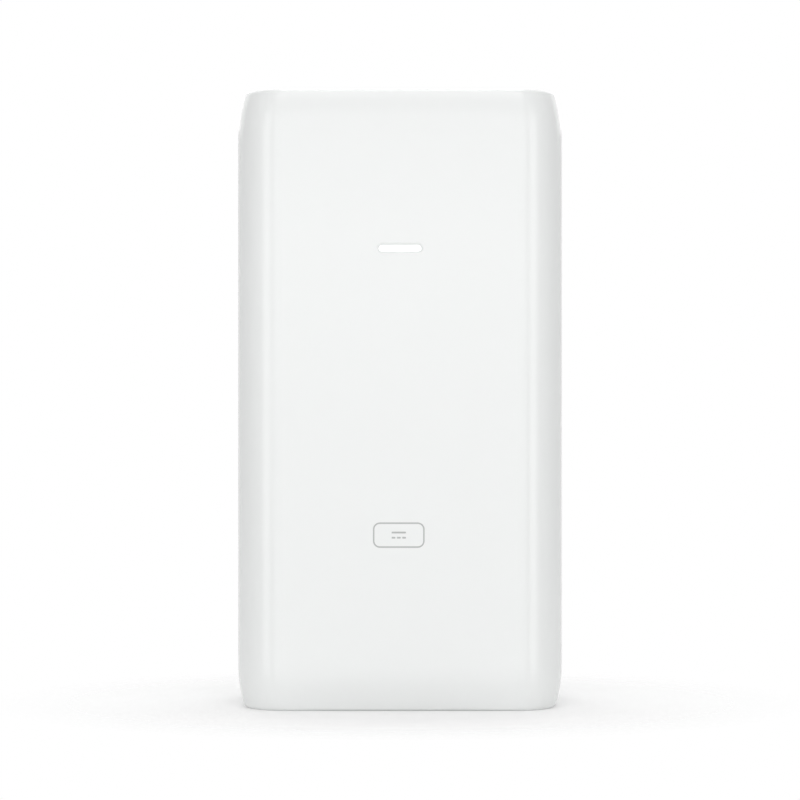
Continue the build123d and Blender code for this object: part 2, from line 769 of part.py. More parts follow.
with BuildPart() as heat_sink:
    with BuildSketch(board_face):
        with Locations((plate_x, power_z)):
            Rectangle(heat_sink_thickness, heat_sink_length)
    extrude(amount=heat_sink_height)
    with BuildSketch(Plane.XZ.offset(-(board_front_y - heat_sink_height))):
        with Locations((transistor_group_x, power_z)):
            Rectangle(transistor_group_width, heat_sink_length)
    extrude(amount=-heat_sink_thickness)
write(heat_sink.part, "heat_sink")

with BuildPart() as switching_transistor:
    with BuildSketch(Plane.XZ.offset(-(board_front_y - transistor_lift))):
        with Locations((transistor_x, power_z)):
            Rectangle(transistor_size[0], transistor_size[1])
    extrude(amount=min(transistor_size[2], heat_sink_height - heat_sink_thickness - transistor_lift))
    with BuildSketch(board_face):
        with Locations((transistor_x, power_z)):
            with GridLocations(0, transistor_lead_pitch, 1, 3):
                Rectangle(transistor_lead_width, transistor_lead_width)
    extrude(amount=transistor_lift)
write(switching_transistor.part, "switching_transistor")

# Transformer: ferrite core with two windows, a bobbin on its middle leg, and the winding on the bobbin
window_width = (core_width - 4 * core_leg) / 2
window_length = core_length - 2 * core_yoke
winding_y = board_front_y - bobbin_rail_height - winding_height / 2
tube_inside = (2 * (core_leg + bobbin_gap), core_thickness + 2 * bobbin_gap)
tube_outside = (tube_inside[0] + 2 * bobbin_wall, tube_inside[1] + 2 * bobbin_wall)
flange_width = 2 * (core_leg + window_width - bobbin_gap)
bobbin_length = window_length - 2 * bobbin_gap
bobbin_low = power_z - bobbin_length / 2
bobbin_high = power_z + bobbin_length / 2

with BuildPart() as transformer_core:
    with BuildSketch(Plane.XZ.offset(-winding_y)):
        with Locations((transformer_x, power_z)):
            Rectangle(core_width, core_length)
            with GridLocations(2 * core_leg + window_width, 0, 2, 1):
                Rectangle(window_width, window_length, mode=Mode.SUBTRACT)
    extrude(amount=core_thickness / 2, both=True)
write(transformer_core.part, "transformer_core")

rail_middle = bobbin_length / 2 - bobbin_wall + bobbin_rail_width / 2

with BuildPart() as transformer_bobbin:
    with BuildSketch(Plane.XY.offset(bobbin_low)):
        with Locations((transformer_x, winding_y)):
            Rectangle(*tube_outside)
    extrude(amount=bobbin_length)
    with BuildSketch(Plane.XY.offset(bobbin_low), Plane.XY.offset(bobbin_high - bobbin_wall)):
        with Locations((transformer_x, winding_y)):
            Rectangle(flange_width, winding_height)
    extrude(amount=bobbin_wall)
    with BuildSketch(board_face):
        with Locations((transformer_x, power_z - rail_middle), (transformer_x, power_z + rail_middle)):
            Rectangle(core_width, bobbin_rail_width)
    extrude(amount=bobbin_rail_height)
    with BuildSketch(Plane.XY.offset(bobbin_low)):
        with Locations((transformer_x, winding_y)):
            Rectangle(*tube_inside)
    extrude(amount=bobbin_length, mode=Mode.SUBTRACT)
write(transformer_bobbin.part, "transformer_bobbin")

with BuildPart() as transformer_winding:
    with BuildSketch(Plane.XY.offset(bobbin_low + bobbin_wall)):
        with Locations((transformer_x, winding_y)):
            RectangleRounded(
                flange_width - 2 * winding_inset, winding_height - 2 * winding_inset, winding_corner
            )
            Rectangle(*tube_outside, mode=Mode.SUBTRACT)
    extrude(amount=bobbin_length - 2 * bobbin_wall)
write(transformer_winding.part, "transformer_winding")

# Chip resistors and capacitors on the back of the board
with BuildPart() as chip_parts:
    with BuildSketch(board_back):
        with Locations((0, (board_low + board_high) / 2)):
            with GridLocations(chip_pitch_x, chip_pitch_z, chip_columns, chip_rows):
                Rectangle(chip_size[0], chip_size[1])
    extrude(amount=-chip_size[2])
write(chip_parts.part, "chip_parts")
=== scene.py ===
"""The looks of a small Power-over-Ethernet injector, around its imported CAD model. Metres throughout."""

from math import radians, tan

import bpy
from mathutils import Matrix, Vector


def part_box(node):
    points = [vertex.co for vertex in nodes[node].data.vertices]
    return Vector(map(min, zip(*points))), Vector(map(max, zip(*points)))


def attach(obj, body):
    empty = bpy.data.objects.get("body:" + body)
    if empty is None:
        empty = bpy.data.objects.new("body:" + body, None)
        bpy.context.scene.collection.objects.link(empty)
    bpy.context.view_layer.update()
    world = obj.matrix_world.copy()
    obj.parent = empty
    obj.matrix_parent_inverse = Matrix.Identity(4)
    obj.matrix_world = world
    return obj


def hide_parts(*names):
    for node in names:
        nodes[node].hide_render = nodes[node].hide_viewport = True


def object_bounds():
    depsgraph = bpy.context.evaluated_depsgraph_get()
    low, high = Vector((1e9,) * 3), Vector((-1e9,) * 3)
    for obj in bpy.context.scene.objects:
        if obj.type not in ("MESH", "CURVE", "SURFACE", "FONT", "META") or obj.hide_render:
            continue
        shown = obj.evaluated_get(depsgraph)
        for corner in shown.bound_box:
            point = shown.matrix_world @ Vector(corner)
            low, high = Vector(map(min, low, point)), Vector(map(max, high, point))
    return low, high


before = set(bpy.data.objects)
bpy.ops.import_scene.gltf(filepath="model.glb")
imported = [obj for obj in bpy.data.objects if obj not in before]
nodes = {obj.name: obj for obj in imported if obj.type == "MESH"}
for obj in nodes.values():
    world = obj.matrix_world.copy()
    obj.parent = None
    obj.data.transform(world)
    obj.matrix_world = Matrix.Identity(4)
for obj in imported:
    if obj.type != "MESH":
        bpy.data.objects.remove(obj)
cad_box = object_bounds()
mm = 0.001

# ------------------------------------------------------------------ front shell
# The front shell is a deep tray moulded in white ABS from a polished mould, so it is glossy with only
# the faintest unevenness. It closes on the rear shell along a fine V-shaped seam.


def new_group(name, inputs, outputs):
    """A shader node group with float sockets, its input and output nodes, and its tree."""
    tree = bpy.data.node_groups.new(name, "ShaderNodeTree")
    for socket, value in inputs.items():
        made = tree.interface.new_socket(socket, in_out="INPUT", socket_type="NodeSocketFloat")
        made.default_value = value
    for socket in outputs:
        tree.interface.new_socket(socket, in_out="OUTPUT", socket_type="NodeSocketFloat")
    return tree, tree.nodes.new("NodeGroupInput"), tree.nodes.new("NodeGroupOutput")


def add_noise(tree, scale, detail, vector=None):
    """A noise texture on Object coordinates, or on the vector that it is given."""
    noise = tree.nodes.new("ShaderNodeTexNoise")
    noise.inputs["Scale"].default_value = scale
    noise.inputs["Detail"].default_value = detail
    if vector is None:
        vector = tree.nodes.new("ShaderNodeTexCoord").outputs["Object"]
    tree.links.new(vector, noise.inputs["Vector"])
    return noise


def mould_grain_group():
    """Height of a moulded surface: fine grain over a long, slow unevenness."""
    tree, ins, outs = new_group("mould_grain", {"Grain per metre": 2500.0, "Waviness": 0.3}, ["Height"])
    fine = add_noise(tree, 1.0, 3.0)
    slow = add_noise(tree, 60.0, 1.0)
    waves = tree.nodes.new("ShaderNodeMath")
    waves.operation = "MULTIPLY_ADD"
    tree.links.new(ins.outputs["Grain per metre"], fine.inputs["Scale"])
    tree.links.new(slow.outputs["Fac"], waves.inputs[0])
    tree.links.new(ins.outputs["Waviness"], waves.inputs[1])
    tree.links.new(fine.outputs["Fac"], waves.inputs[2])
    tree.links.new(waves.outputs["Value"], outs.inputs["Height"])
    return tree


def handling_group():
    """Roughness of a surface that has been handled a little, in soft patches."""
    tree, ins, outs = new_group("handling", {"Least": 0.2, "Most": 0.35, "Patches": 45.0}, ["Roughness"])
    patches = add_noise(tree, 45.0, 2.0)
    spread = tree.nodes.new("ShaderNodeMapRange")
    spread.interpolation_type = "SMOOTHERSTEP"
    spread.inputs["From Min"].default_value = 0.15
    spread.inputs["From Max"].default_value = 0.85
    tree.links.new(ins.outputs["Patches"], patches.inputs["Scale"])
    tree.links.new(patches.outputs["Fac"], spread.inputs["Value"])
    tree.links.new(ins.outputs["Least"], spread.inputs["To Min"])
    tree.links.new(ins.outputs["Most"], spread.inputs["To Max"])
    tree.links.new(spread.outputs["Result"], outs.inputs["Roughness"])
    return tree


def shade_drift_group():
    """A slow drift between two shades of one colour, as pigment and age leave it."""
    tree = bpy.data.node_groups.new("shade_drift", "ShaderNodeTree")
    for socket in ("Light", "Dark"):
        tree.interface.new_socket(socket, in_out="INPUT", socket_type="NodeSocketColor")
    tree.interface.new_socket("Patches", in_out="INPUT", socket_type="NodeSocketFloat")
    tree.interface.new_socket("Colour", in_out="OUTPUT", socket_type="NodeSocketColor")
    ins = tree.nodes.new("NodeGroupInput")
    outs = tree.nodes.new("NodeGroupOutput")
    patches = add_noise(tree, 45.0, 2.0)
    blend = tree.nodes.new("ShaderNodeMix")
    blend.data_type = "RGBA"
    tree.links.new(ins.outputs["Patches"], patches.inputs["Scale"])
    tree.links.new(patches.outputs["Fac"], blend.inputs["Factor"])
    tree.links.new(ins.outputs["Light"], blend.inputs["A"])
    tree.links.new(ins.outputs["Dark"], blend.inputs["B"])
    tree.links.new(blend.outputs["Result"], outs.inputs["Colour"])
    return tree


mould_grain = mould_grain_group()
handling = handling_group()
shade_drift = shade_drift_group()


def add_group(tree, group, **values):
    """Place an effect in a material, with this material's own values (spaces in names as _)."""
    node = tree.nodes.new("ShaderNodeGroup")
    node.node_tree = group
    for name, value in values.items():
        node.inputs[name.replace("_", " ")].default_value = value
    return node


def add_bump(tree, height, distance, shader):
    """Turn a height into the shader's normal."""
    bump = tree.nodes.new("ShaderNodeBump")
    bump.inputs["Distance"].default_value = distance
    tree.links.new(height, bump.inputs["Height"])
    tree.links.new(bump.outputs["Normal"], shader.inputs["Normal"])


def new_material(name, metallic=0.0, ior=1.5):
    """An empty material: its tree and its shader."""
    material = bpy.data.materials.new(name)
    material.use_nodes = True
    shader = material.node_tree.nodes["Principled BSDF"]
    shader.inputs["Metallic"].default_value = metallic
    shader.inputs["IOR"].default_value = ior
    return material, material.node_tree, shader


def moulded(name, colour, drift, grain, depth, least, most, waviness=0.3, patches=45.0):
    """A moulded material: two close shades, grain as bump, and roughness that handling has varied."""
    material, tree, shader = new_material(name)
    darker = [part * (1.0 - drift) for part in colour]
    shades = add_group(tree, shade_drift, Light=(*colour, 1.0), Dark=(*darker, 1.0), Patches=patches)
    grains = add_group(tree, mould_grain, Grain_per_metre=grain, Waviness=waviness)
    rubs = add_group(tree, handling, Least=least, Most=most, Patches=patches)
    add_bump(tree, grains.outputs["Height"], depth, shader)
    tree.links.new(shades.outputs["Colour"], shader.inputs["Base Color"])
    tree.links.new(rubs.outputs["Roughness"], shader.inputs["Roughness"])
    return material


def dress(material, *names):
    """Give CAD nodes one material all over."""
    for name in names:
        mesh = nodes[name].data
        mesh.materials.clear()
        mesh.materials.append(material)


shell_white = moulded("shell_white", (0.88, 0.893, 0.887), 0.012, 1800.0, 1.2e-6, 0.16, 0.21)
dress(shell_white, "front_shell")

# ------------------------------------------------------------------ port badge on the front
# A small rounded outline is stamped low on the front in silver-grey foil, with the general sign for
# direct current in it: a bar above three dashes.
foil_thickness = 0.02 * mm
foil_sink = 0.005 * mm
badge_x = -0.17 * mm
badge_z = 24.7 * mm
badge_width = 7.22 * mm
badge_height = 3.54 * mm
badge_corner = 0.95 * mm
badge_line = 0.2 * mm
sign_width = 2.0 * mm
sign_line = 0.24 * mm
sign_half_gap = 0.36 * mm
dash_width = 0.52 * mm
dash_pitch = 0.74 * mm


def start_outline(name, width, height, corner, line):
    """A new piece in edit mode: the outline of a rounded rectangle, flat on XY about the origin."""
    bpy.ops.object.select_all(action="DESELECT")
    bpy.ops.mesh.primitive_plane_add(size=1.0)
    piece = bpy.context.object
    piece.name = name
    bpy.ops.object.mode_set(mode="EDIT")
    bpy.ops.transform.resize(value=(width, height, 1.0))
    bpy.ops.mesh.bevel(offset=corner, segments=8, affect="VERTICES")
    bpy.ops.mesh.inset(thickness=line)
    bpy.ops.mesh.delete(type="FACE")
    return piece


def add_bar(middle_x, middle_y, width, height):
    """One more flat bar with softened corners, in the piece that is in edit mode."""
    bpy.ops.mesh.select_all(action="DESELECT")
    bpy.ops.mesh.primitive_plane_add(size=1.0, location=(middle_x, middle_y, 0))
    bpy.ops.transform.resize(value=(width, height, 1.0), center_override=(middle_x, middle_y, 0))
    bpy.ops.mesh.bevel(offset=min(width, height) * 0.3, segments=3, affect="VERTICES")


def raise_print(piece, thickness, place):
    """Give flat print its thickness, shade it, and put it in its place on the case."""
    bpy.ops.mesh.select_all(action="SELECT")
    bpy.ops.mesh.extrude_region_move(TRANSFORM_OT_translate={"value": (0, 0, thickness)})
    bpy.ops.mesh.select_all(action="SELECT")
    bpy.ops.mesh.normals_make_consistent(inside=False)
    bpy.ops.object.mode_set(mode="OBJECT")
    bpy.ops.object.shade_smooth_by_angle(angle=radians(30))
    piece.data.transform(place)
    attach(piece, "case")


badge = start_outline("front_badge", badge_width, badge_height, badge_corner, badge_line)
add_bar(0, sign_half_gap, sign_width, sign_line)
for dash_x in (-dash_pitch, 0, dash_pitch):
    add_bar(dash_x, -sign_half_gap, dash_width, sign_line)
facing_front = Matrix.Rotation(radians(90), 4, "X")
front_y = cad_box[0][1]
badge_place = Matrix.Translation((badge_x, front_y + foil_sink, badge_z)) @ facing_front
raise_print(badge, foil_thickness + foil_sink, badge_place)
badge_foil = moulded("badge_foil", (0.47, 0.48, 0.475), 0.03, 6000.0, 1e-6, 0.3, 0.4)
badge.data.materials.append(badge_foil)

# ------------------------------------------------------------------ light pipe and status LED
# The light pipe is milky acrylic, pressed into its slot from inside, in front of a small resin LED on the
# board. The LED gives no light here: a faint glow is painted into the pipe as emission. Its face lies a
# little behind the front.
lens_painted_glow = 0.16
lens_white = moulded("lens_white", (0.93, 0.94, 0.94), 0.01, 900.0, 0.5e-6, 0.12, 0.16)
lens_shader = lens_white.node_tree.nodes["Principled BSDF"]
# Painted glow: the pipe's face emits faintly, though no lamp lies behind it.
lens_shader.inputs["Emission Color"].default_value = (1.0, 1.0, 1.0, 1.0)
lens_shader.inputs["Emission Strength"].default_value = lens_painted_glow
dress(lens_white, "light_pipe")

led_white = moulded("led_white", (0.88, 0.87, 0.78), 0.06, 3000.0, 2e-6, 0.3, 0.45)
dress(led_white, "status_led")

# ------------------------------------------------------------------ circuit board
# The board is glass-fibre laminate under green solder mask, through which the copper tracks show as
# paler lines. Small ceramic chips are soldered to its back, and a clear film keeps it off the rear shell.


def board_material():
    """Solder mask: paler lines where tracks run under it, over the fine weave of the glass."""
    track_pitch = 1.6 * mm
    weave_per_metre = 2200.0
    weave_share = 0.15
    relief_height = 0.035 * mm
    material, tree, shader = new_material("board_green", ior=1.52)
    place = tree.nodes.new("ShaderNodeTexCoord")
    upright = tree.nodes.new("ShaderNodeMapping")
    upright.inputs["Rotation"].default_value = (radians(90), 0, 0)
    tracks = tree.nodes.new("ShaderNodeTexBrick")
    tracks.inputs["Scale"].default_value = 1.0 / (4 * track_pitch)
    tracks.inputs["Mortar Size"].default_value = 0.035
    tracks.inputs["Mortar Smooth"].default_value = 0.3
    tracks.inputs["Color1"].default_value = (0.012, 0.115, 0.045, 1.0)
    tracks.inputs["Color2"].default_value = (0.016, 0.135, 0.052, 1.0)
    tracks.inputs["Mortar"].default_value = (0.035, 0.25, 0.10, 1.0)
    weave = tree.nodes.new("ShaderNodeTexChecker")
    weave.inputs["Scale"].default_value = weave_per_metre
    relief = tree.nodes.new("ShaderNodeMath")
    relief.operation = "MULTIPLY_ADD"
    relief.inputs[1].default_value = weave_share
    rubs = add_group(tree, handling, Least=0.28, Most=0.42, Patches=120.0)
    tree.links.new(place.outputs["Object"], upright.inputs["Vector"])
    tree.links.new(upright.outputs["Vector"], tracks.inputs["Vector"])
    tree.links.new(upright.outputs["Vector"], weave.inputs["Vector"])
    tree.links.new(tracks.outputs["Color"], shader.inputs["Base Color"])
    tree.links.new(weave.outputs["Fac"], relief.inputs[0])
    tree.links.new(tracks.outputs["Fac"], relief.inputs[2])
    tree.links.new(rubs.outputs["Roughness"], shader.inputs["Roughness"])
    add_bump(tree, relief.outputs["Value"], relief_height, shader)
    return material


dress(board_material(), "main_board")
dress(moulded("chip_ceramic", (0.22, 0.17, 0.12), 0.3, 4000.0, 4e-6, 0.4, 0.6), "chip_parts")
film = moulded("insulating_film", (0.80, 0.78, 0.66), 0.05, 700.0, 3e-6, 0.15, 0.3, waviness=1.0)
film.node_tree.nodes["Principled BSDF"].inputs["Transmission Weight"].default_value = 0.6
dress(film, "insulating_sheet")

# ------------------------------------------------------------------ moulded blocks on the board
# Integrated circuits, the bridge rectifier and the line transformer are black moulded epoxy with tinned
# legs; the optocoupler is white, the fuse is in a brown box and the X capacitor in a yellow potted one.
tin_colour = (0.70, 0.69, 0.66)


def legged_block(name, colour, least, most, body):
    """Epoxy all over but for the legs, which stand out of its left and right sides."""
    low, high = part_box(body)
    leg_reach = 0.85 * mm
    material = moulded(name, colour, 0.12, 5200.0, 5e-6, least, most)
    tree = material.node_tree
    shader = tree.nodes["Principled BSDF"]
    place = tree.nodes.new("ShaderNodeTexCoord")
    centre = tree.nodes.new("ShaderNodeMapping")
    centre.inputs["Location"].default_value = (-(low.x + high.x) / 2, 0, 0)
    axes = tree.nodes.new("ShaderNodeSeparateXYZ")
    off_middle = tree.nodes.new("ShaderNodeMath")
    off_middle.operation = "ABSOLUTE"
    on_leg = tree.nodes.new("ShaderNodeMath")
    on_leg.operation = "GREATER_THAN"
    on_leg.inputs[1].default_value = (high.x - low.x) / 2 - leg_reach
    tinned = tree.nodes.new("ShaderNodeMix")
    tinned.data_type = "RGBA"
    tinned.inputs["B"].default_value = (*tin_colour, 1.0)
    shades = shader.inputs["Base Color"].links[0].from_socket
    tree.links.new(place.outputs["Object"], centre.inputs["Vector"])
    tree.links.new(centre.outputs["Vector"], axes.inputs["Vector"])
    tree.links.new(axes.outputs["X"], off_middle.inputs[0])
    tree.links.new(off_middle.outputs["Value"], on_leg.inputs[0])
    tree.links.new(on_leg.outputs["Value"], tinned.inputs["Factor"])
    tree.links.new(shades, tinned.inputs["A"])
    tree.links.new(tinned.outputs["Result"], shader.inputs["Base Color"])
    tree.links.new(on_leg.outputs["Value"], shader.inputs["Metallic"])
    dress(material, body)


for block in ("line_transformer", "output_rectifier", "bridge_rectifier"):
    legged_block(f"epoxy_black_{block}", (0.028, 0.028, 0.03), 0.42, 0.58, block)
legged_block("epoxy_white", (0.78, 0.78, 0.75), 0.4, 0.5, "optocoupler")
epoxy_black = moulded("epoxy_black", (0.028, 0.028, 0.03), 0.12, 5200.0, 5e-6, 0.42, 0.58)
dress(epoxy_black, "port_controller", "switching_transistor")
dress(moulded("fuse_brown", (0.16, 0.055, 0.03), 0.15, 2600.0, 3e-6, 0.3, 0.4), "fuse")
dress(moulded("box_yellow", (0.72, 0.46, 0.05), 0.08, 2600.0, 3e-6, 0.25, 0.35), "x_capacitor")

# ------------------------------------------------------------------ capacitors and varistor
# Electrolytic cans stand in shrunk black sleeves with a grey stripe down one side and bare aluminium
# on top. The Y capacitor and the varistor are discs dipped in blue resin, glossy and a little lumpy.


def can_material(name, body):
    """Sleeve with a stripe on its upper side, bare metal where the can's end faces the front."""
    low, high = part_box(body)
    bare_depth = 0.25 * mm
    stripe_reach = 1.2 * mm
    material = moulded(name, (0.02, 0.02, 0.028), 0.1, 900.0, 6e-6, 0.22, 0.34, waviness=1.0)
    tree = material.node_tree
    shader = tree.nodes["Principled BSDF"]
    place = tree.nodes.new("ShaderNodeTexCoord")
    axes = tree.nodes.new("ShaderNodeSeparateXYZ")
    bare = tree.nodes.new("ShaderNodeMath")
    bare.operation = "LESS_THAN"
    bare.inputs[1].default_value = low.y + bare_depth
    stripe = tree.nodes.new("ShaderNodeMath")
    stripe.operation = "GREATER_THAN"
    stripe.inputs[1].default_value = high.z - stripe_reach
    striped = tree.nodes.new("ShaderNodeMix")
    striped.data_type = "RGBA"
    striped.inputs["B"].default_value = (0.35, 0.35, 0.36, 1.0)
    ended = tree.nodes.new("ShaderNodeMix")
    ended.data_type = "RGBA"
    ended.inputs["B"].default_value = (0.75, 0.75, 0.76, 1.0)
    shades = shader.inputs["Base Color"].links[0].from_socket
    tree.links.new(place.outputs["Object"], axes.inputs["Vector"])
    tree.links.new(axes.outputs["Y"], bare.inputs[0])
    tree.links.new(axes.outputs["Z"], stripe.inputs[0])
    tree.links.new(stripe.outputs["Value"], striped.inputs["Factor"])
    tree.links.new(shades, striped.inputs["A"])
    tree.links.new(bare.outputs["Value"], ended.inputs["Factor"])
    tree.links.new(striped.outputs["Result"], ended.inputs["A"])
    tree.links.new(ended.outputs["Result"], shader.inputs["Base Color"])
    tree.links.new(bare.outputs["Value"], shader.inputs["Metallic"])
    dress(material, body)


for can in ("output_capacitors", "bulk_capacitor"):
    can_material(f"can_sleeve_{can}", can)
disc_blue = moulded("disc_blue", (0.03, 0.12, 0.42), 0.12, 500.0, 2.5e-5, 0.14, 0.24, waviness=1.0)
dress(disc_blue, "y_capacitor", "varistor")

# ------------------------------------------------------------------ choke and transformer
# The choke is a dull ferrite ring with two coils of enamelled copper. The transformer's ferrite halves
# clasp a black bobbin, and its winding is wrapped in yellow polyester tape.
ferrite = moulded("ferrite", (0.052, 0.050, 0.052), 0.25, 3800.0, 1.2e-5, 0.5, 0.72)
dress(ferrite, "choke_core", "transformer_core")


def wound_copper():
    """Turns of enamelled wire, side by side round the ring: a ridge for each, with shade painted dark into
    the grooves between.
    """
    turns = 150.0
    ridge_height = 0.06 * mm
    low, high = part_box("choke_core")
    material, tree, shader = new_material("copper_wire", metallic=0.85)
    place = tree.nodes.new("ShaderNodeTexCoord")
    centre = tree.nodes.new("ShaderNodeMapping")
    centre.inputs["Location"].default_value = (-(low.x + high.x) / 2, 0, -(low.z + high.z) / 2)
    axes = tree.nodes.new("ShaderNodeSeparateXYZ")
    angle = tree.nodes.new("ShaderNodeMath")
    angle.operation = "ARCTAN2"
    along = tree.nodes.new("ShaderNodeMath")
    along.operation = "MULTIPLY"
    along.inputs[1].default_value = turns / 2
    ridge = tree.nodes.new("ShaderNodeMath")
    ridge.operation = "SINE"
    depth = tree.nodes.new("ShaderNodeMapRange")
    depth.inputs["From Min"].default_value = -1.0
    # Painted shade: the copper colour darkens into the grooves between turns, following the bump.
    wire_colour_and_groove_shade = tree.nodes.new("ShaderNodeMix")
    wire_colour_and_groove_shade.data_type = "RGBA"
    wire_colour_and_groove_shade.inputs["A"].default_value = (0.16, 0.045, 0.015, 1.0)
    wire_colour_and_groove_shade.inputs["B"].default_value = (0.62, 0.24, 0.09, 1.0)
    rubs = add_group(tree, handling, Least=0.18, Most=0.3, Patches=300.0)
    tree.links.new(place.outputs["Object"], centre.inputs["Vector"])
    tree.links.new(centre.outputs["Vector"], axes.inputs["Vector"])
    tree.links.new(axes.outputs["Z"], angle.inputs[0])
    tree.links.new(axes.outputs["X"], angle.inputs[1])
    tree.links.new(angle.outputs["Value"], along.inputs[0])
    tree.links.new(along.outputs["Value"], ridge.inputs[0])
    tree.links.new(ridge.outputs["Value"], depth.inputs["Value"])
    tree.links.new(depth.outputs["Result"], wire_colour_and_groove_shade.inputs["Factor"])
    tree.links.new(wire_colour_and_groove_shade.outputs["Result"], shader.inputs["Base Color"])
    tree.links.new(rubs.outputs["Roughness"], shader.inputs["Roughness"])
    add_bump(tree, depth.outputs["Result"], ridge_height, shader)
    return material


dress(wound_copper(), "choke_windings")
dress(moulded("bobbin_black", (0.035, 0.033, 0.033), 0.1, 3000.0, 4e-6, 0.35, 0.5), "transformer_bobbin")
tape = moulded("winding_tape", (0.74, 0.53, 0.07), 0.1, 420.0, 1.5e-5, 0.16, 0.26, waviness=1.5)
dress(tape, "transformer_winding")

# ------------------------------------------------------------------ heat sink
# The heat sink is bent from plain aluminium sheet, whose fine rolling lines run upwards. It stands on
# the board and carries the switching transistor.


def brushed_group():
    """Fine parallel lines of rolled or drawn metal: their height, and the roughness that goes with them."""
    inputs = {"Lines per metre": 9000.0, "Least": 0.2, "Most": 0.4}
    tree, ins, outs = new_group("brushed", inputs, ["Height", "Roughness"])
    tree.interface.new_socket("Vector", in_out="INPUT", socket_type="NodeSocketVector")
    lines = add_noise(tree, 1.0, 2.0, ins.outputs["Vector"])
    spread = tree.nodes.new("ShaderNodeMapRange")
    spread.inputs["From Min"].default_value = 0.25
    spread.inputs["From Max"].default_value = 0.75
    tree.links.new(ins.outputs["Lines per metre"], lines.inputs["Scale"])
    tree.links.new(lines.outputs["Fac"], spread.inputs["Value"])
    tree.links.new(ins.outputs["Least"], spread.inputs["To Min"])
    tree.links.new(ins.outputs["Most"], spread.inputs["To Max"])
    tree.links.new(lines.outputs["Fac"], outs.inputs["Height"])
    tree.links.new(spread.outputs["Result"], outs.inputs["Roughness"])
    return tree


brushed = brushed_group()


def metal(name, colour, drift, stretch, lines, depth, least, most):
    """Rolled, drawn or plated metal: its lines run along the axis that stretch makes short."""
    material, tree, shader = new_material(name, metallic=1.0)
    darker = [part * (1.0 - drift) for part in colour]
    shades = add_group(tree, shade_drift, Light=(*colour, 1.0), Dark=(*darker, 1.0), Patches=260.0)
    place = tree.nodes.new("ShaderNodeTexCoord")
    along = tree.nodes.new("ShaderNodeMapping")
    along.inputs["Scale"].default_value = stretch
    rubs = add_group(tree, brushed, Lines_per_metre=lines, Least=least, Most=most)
    tree.links.new(place.outputs["Object"], along.inputs["Vector"])
    tree.links.new(along.outputs["Vector"], rubs.inputs["Vector"])
    tree.links.new(shades.outputs["Colour"], shader.inputs["Base Color"])
    tree.links.new(rubs.outputs["Roughness"], shader.inputs["Roughness"])
    add_bump(tree, rubs.outputs["Height"], depth, shader)
    return material


aluminium = metal("sink_aluminium", (0.72, 0.72, 0.73), 0.08, (1.0, 1.0, 0.04), 9000.0, 2e-6, 0.28, 0.42)
dress(aluminium, "heat_sink")

# ------------------------------------------------------------------ network jacks
# Each jack is a black moulded block inside a stamped shield of nickel-plated steel. Eight gold-plated
# wires spring out of a comb of slots in its roof, and two tongues of the shield grip the plug.
jack_black = moulded("jack_plastic", (0.026, 0.026, 0.027), 0.15, 3000.0, 3e-6, 0.3, 0.42)
dress(jack_black, "data_port_housing", "power_port_housing")
shield_steel = metal("shield_steel", (0.56, 0.555, 0.54), 0.08, (0.05, 1.0, 1.0), 7000.0, 1.5e-6, 0.2, 0.34)
dress(shield_steel, "data_port_shield", "power_port_shield")
contact_gold = metal("contact_gold", (0.92, 0.66, 0.27), 0.12, (1.0, 0.1, 0.1), 9000.0, 1e-6, 0.34, 0.48)
dress(contact_gold, "data_port_contacts", "power_port_contacts")

jack_middle_x = 8.75 * mm
wire_radius = 0.165 * mm
wire_bend = 0.45 * mm
wire_pitch = 1.02 * mm
wires_per_jack = 8
wire_root = Vector((0, -4.1, 3.6)) * mm
wire_tip = Vector((0, -1.6, 12.6)) * mm
wire_hook = Vector((0, -2.5, 13.3)) * mm


def contact_comb(name, middle_x, body, node):
    """Eight round wires: each one straight from its slot, bent over its tip, and hooked back."""
    rise, back = (wire_tip - wire_root).normalized(), (wire_hook - wire_tip).normalized()
    turn = rise.angle(back)
    cut = wire_bend * tan(turn / 2)
    bend_middle = wire_tip - rise * cut + Vector((0, -rise.z, rise.y)) * wire_bend
    start = Vector((middle_x - (wires_per_jack - 1) / 2 * wire_pitch, 0, 0))
    bpy.ops.object.select_all(action="DESELECT")
    bpy.ops.mesh.primitive_circle_add(vertices=14, radius=wire_radius, fill_type="NGON")
    comb = bpy.context.object
    comb.name = name
    along_wire = rise.to_track_quat("Z", "X").to_matrix().to_4x4()
    comb.data.transform(Matrix.Translation(start + wire_root) @ along_wire)
    bpy.ops.object.mode_set(mode="EDIT")
    straight = rise * ((wire_tip - wire_root).length - cut)
    bpy.ops.mesh.extrude_region_move(TRANSFORM_OT_translate={"value": straight})
    bpy.ops.mesh.spin(steps=6, angle=turn, center=start + bend_middle, axis=(1, 0, 0))
    hook = back * ((wire_hook - wire_tip).length - cut)
    bpy.ops.mesh.extrude_region_move(TRANSFORM_OT_translate={"value": hook})
    bpy.ops.mesh.select_all(action="SELECT")
    bpy.ops.mesh.normals_make_consistent(inside=False)
    for _ in range(1, wires_per_jack):
        bpy.ops.mesh.duplicate_move(TRANSFORM_OT_translate={"value": (wire_pitch, 0, 0)})
    bpy.ops.object.mode_set(mode="OBJECT")
    bpy.ops.object.shade_smooth_by_angle(angle=radians(40))
    comb.data.materials.append(contact_gold)
    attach(comb, body)
    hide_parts(node)


contact_comb("data_port_wires", -jack_middle_x, "data_contacts", "data_port_contacts")
contact_comb("power_port_wires", jack_middle_x, "power_contacts", "power_port_contacts")

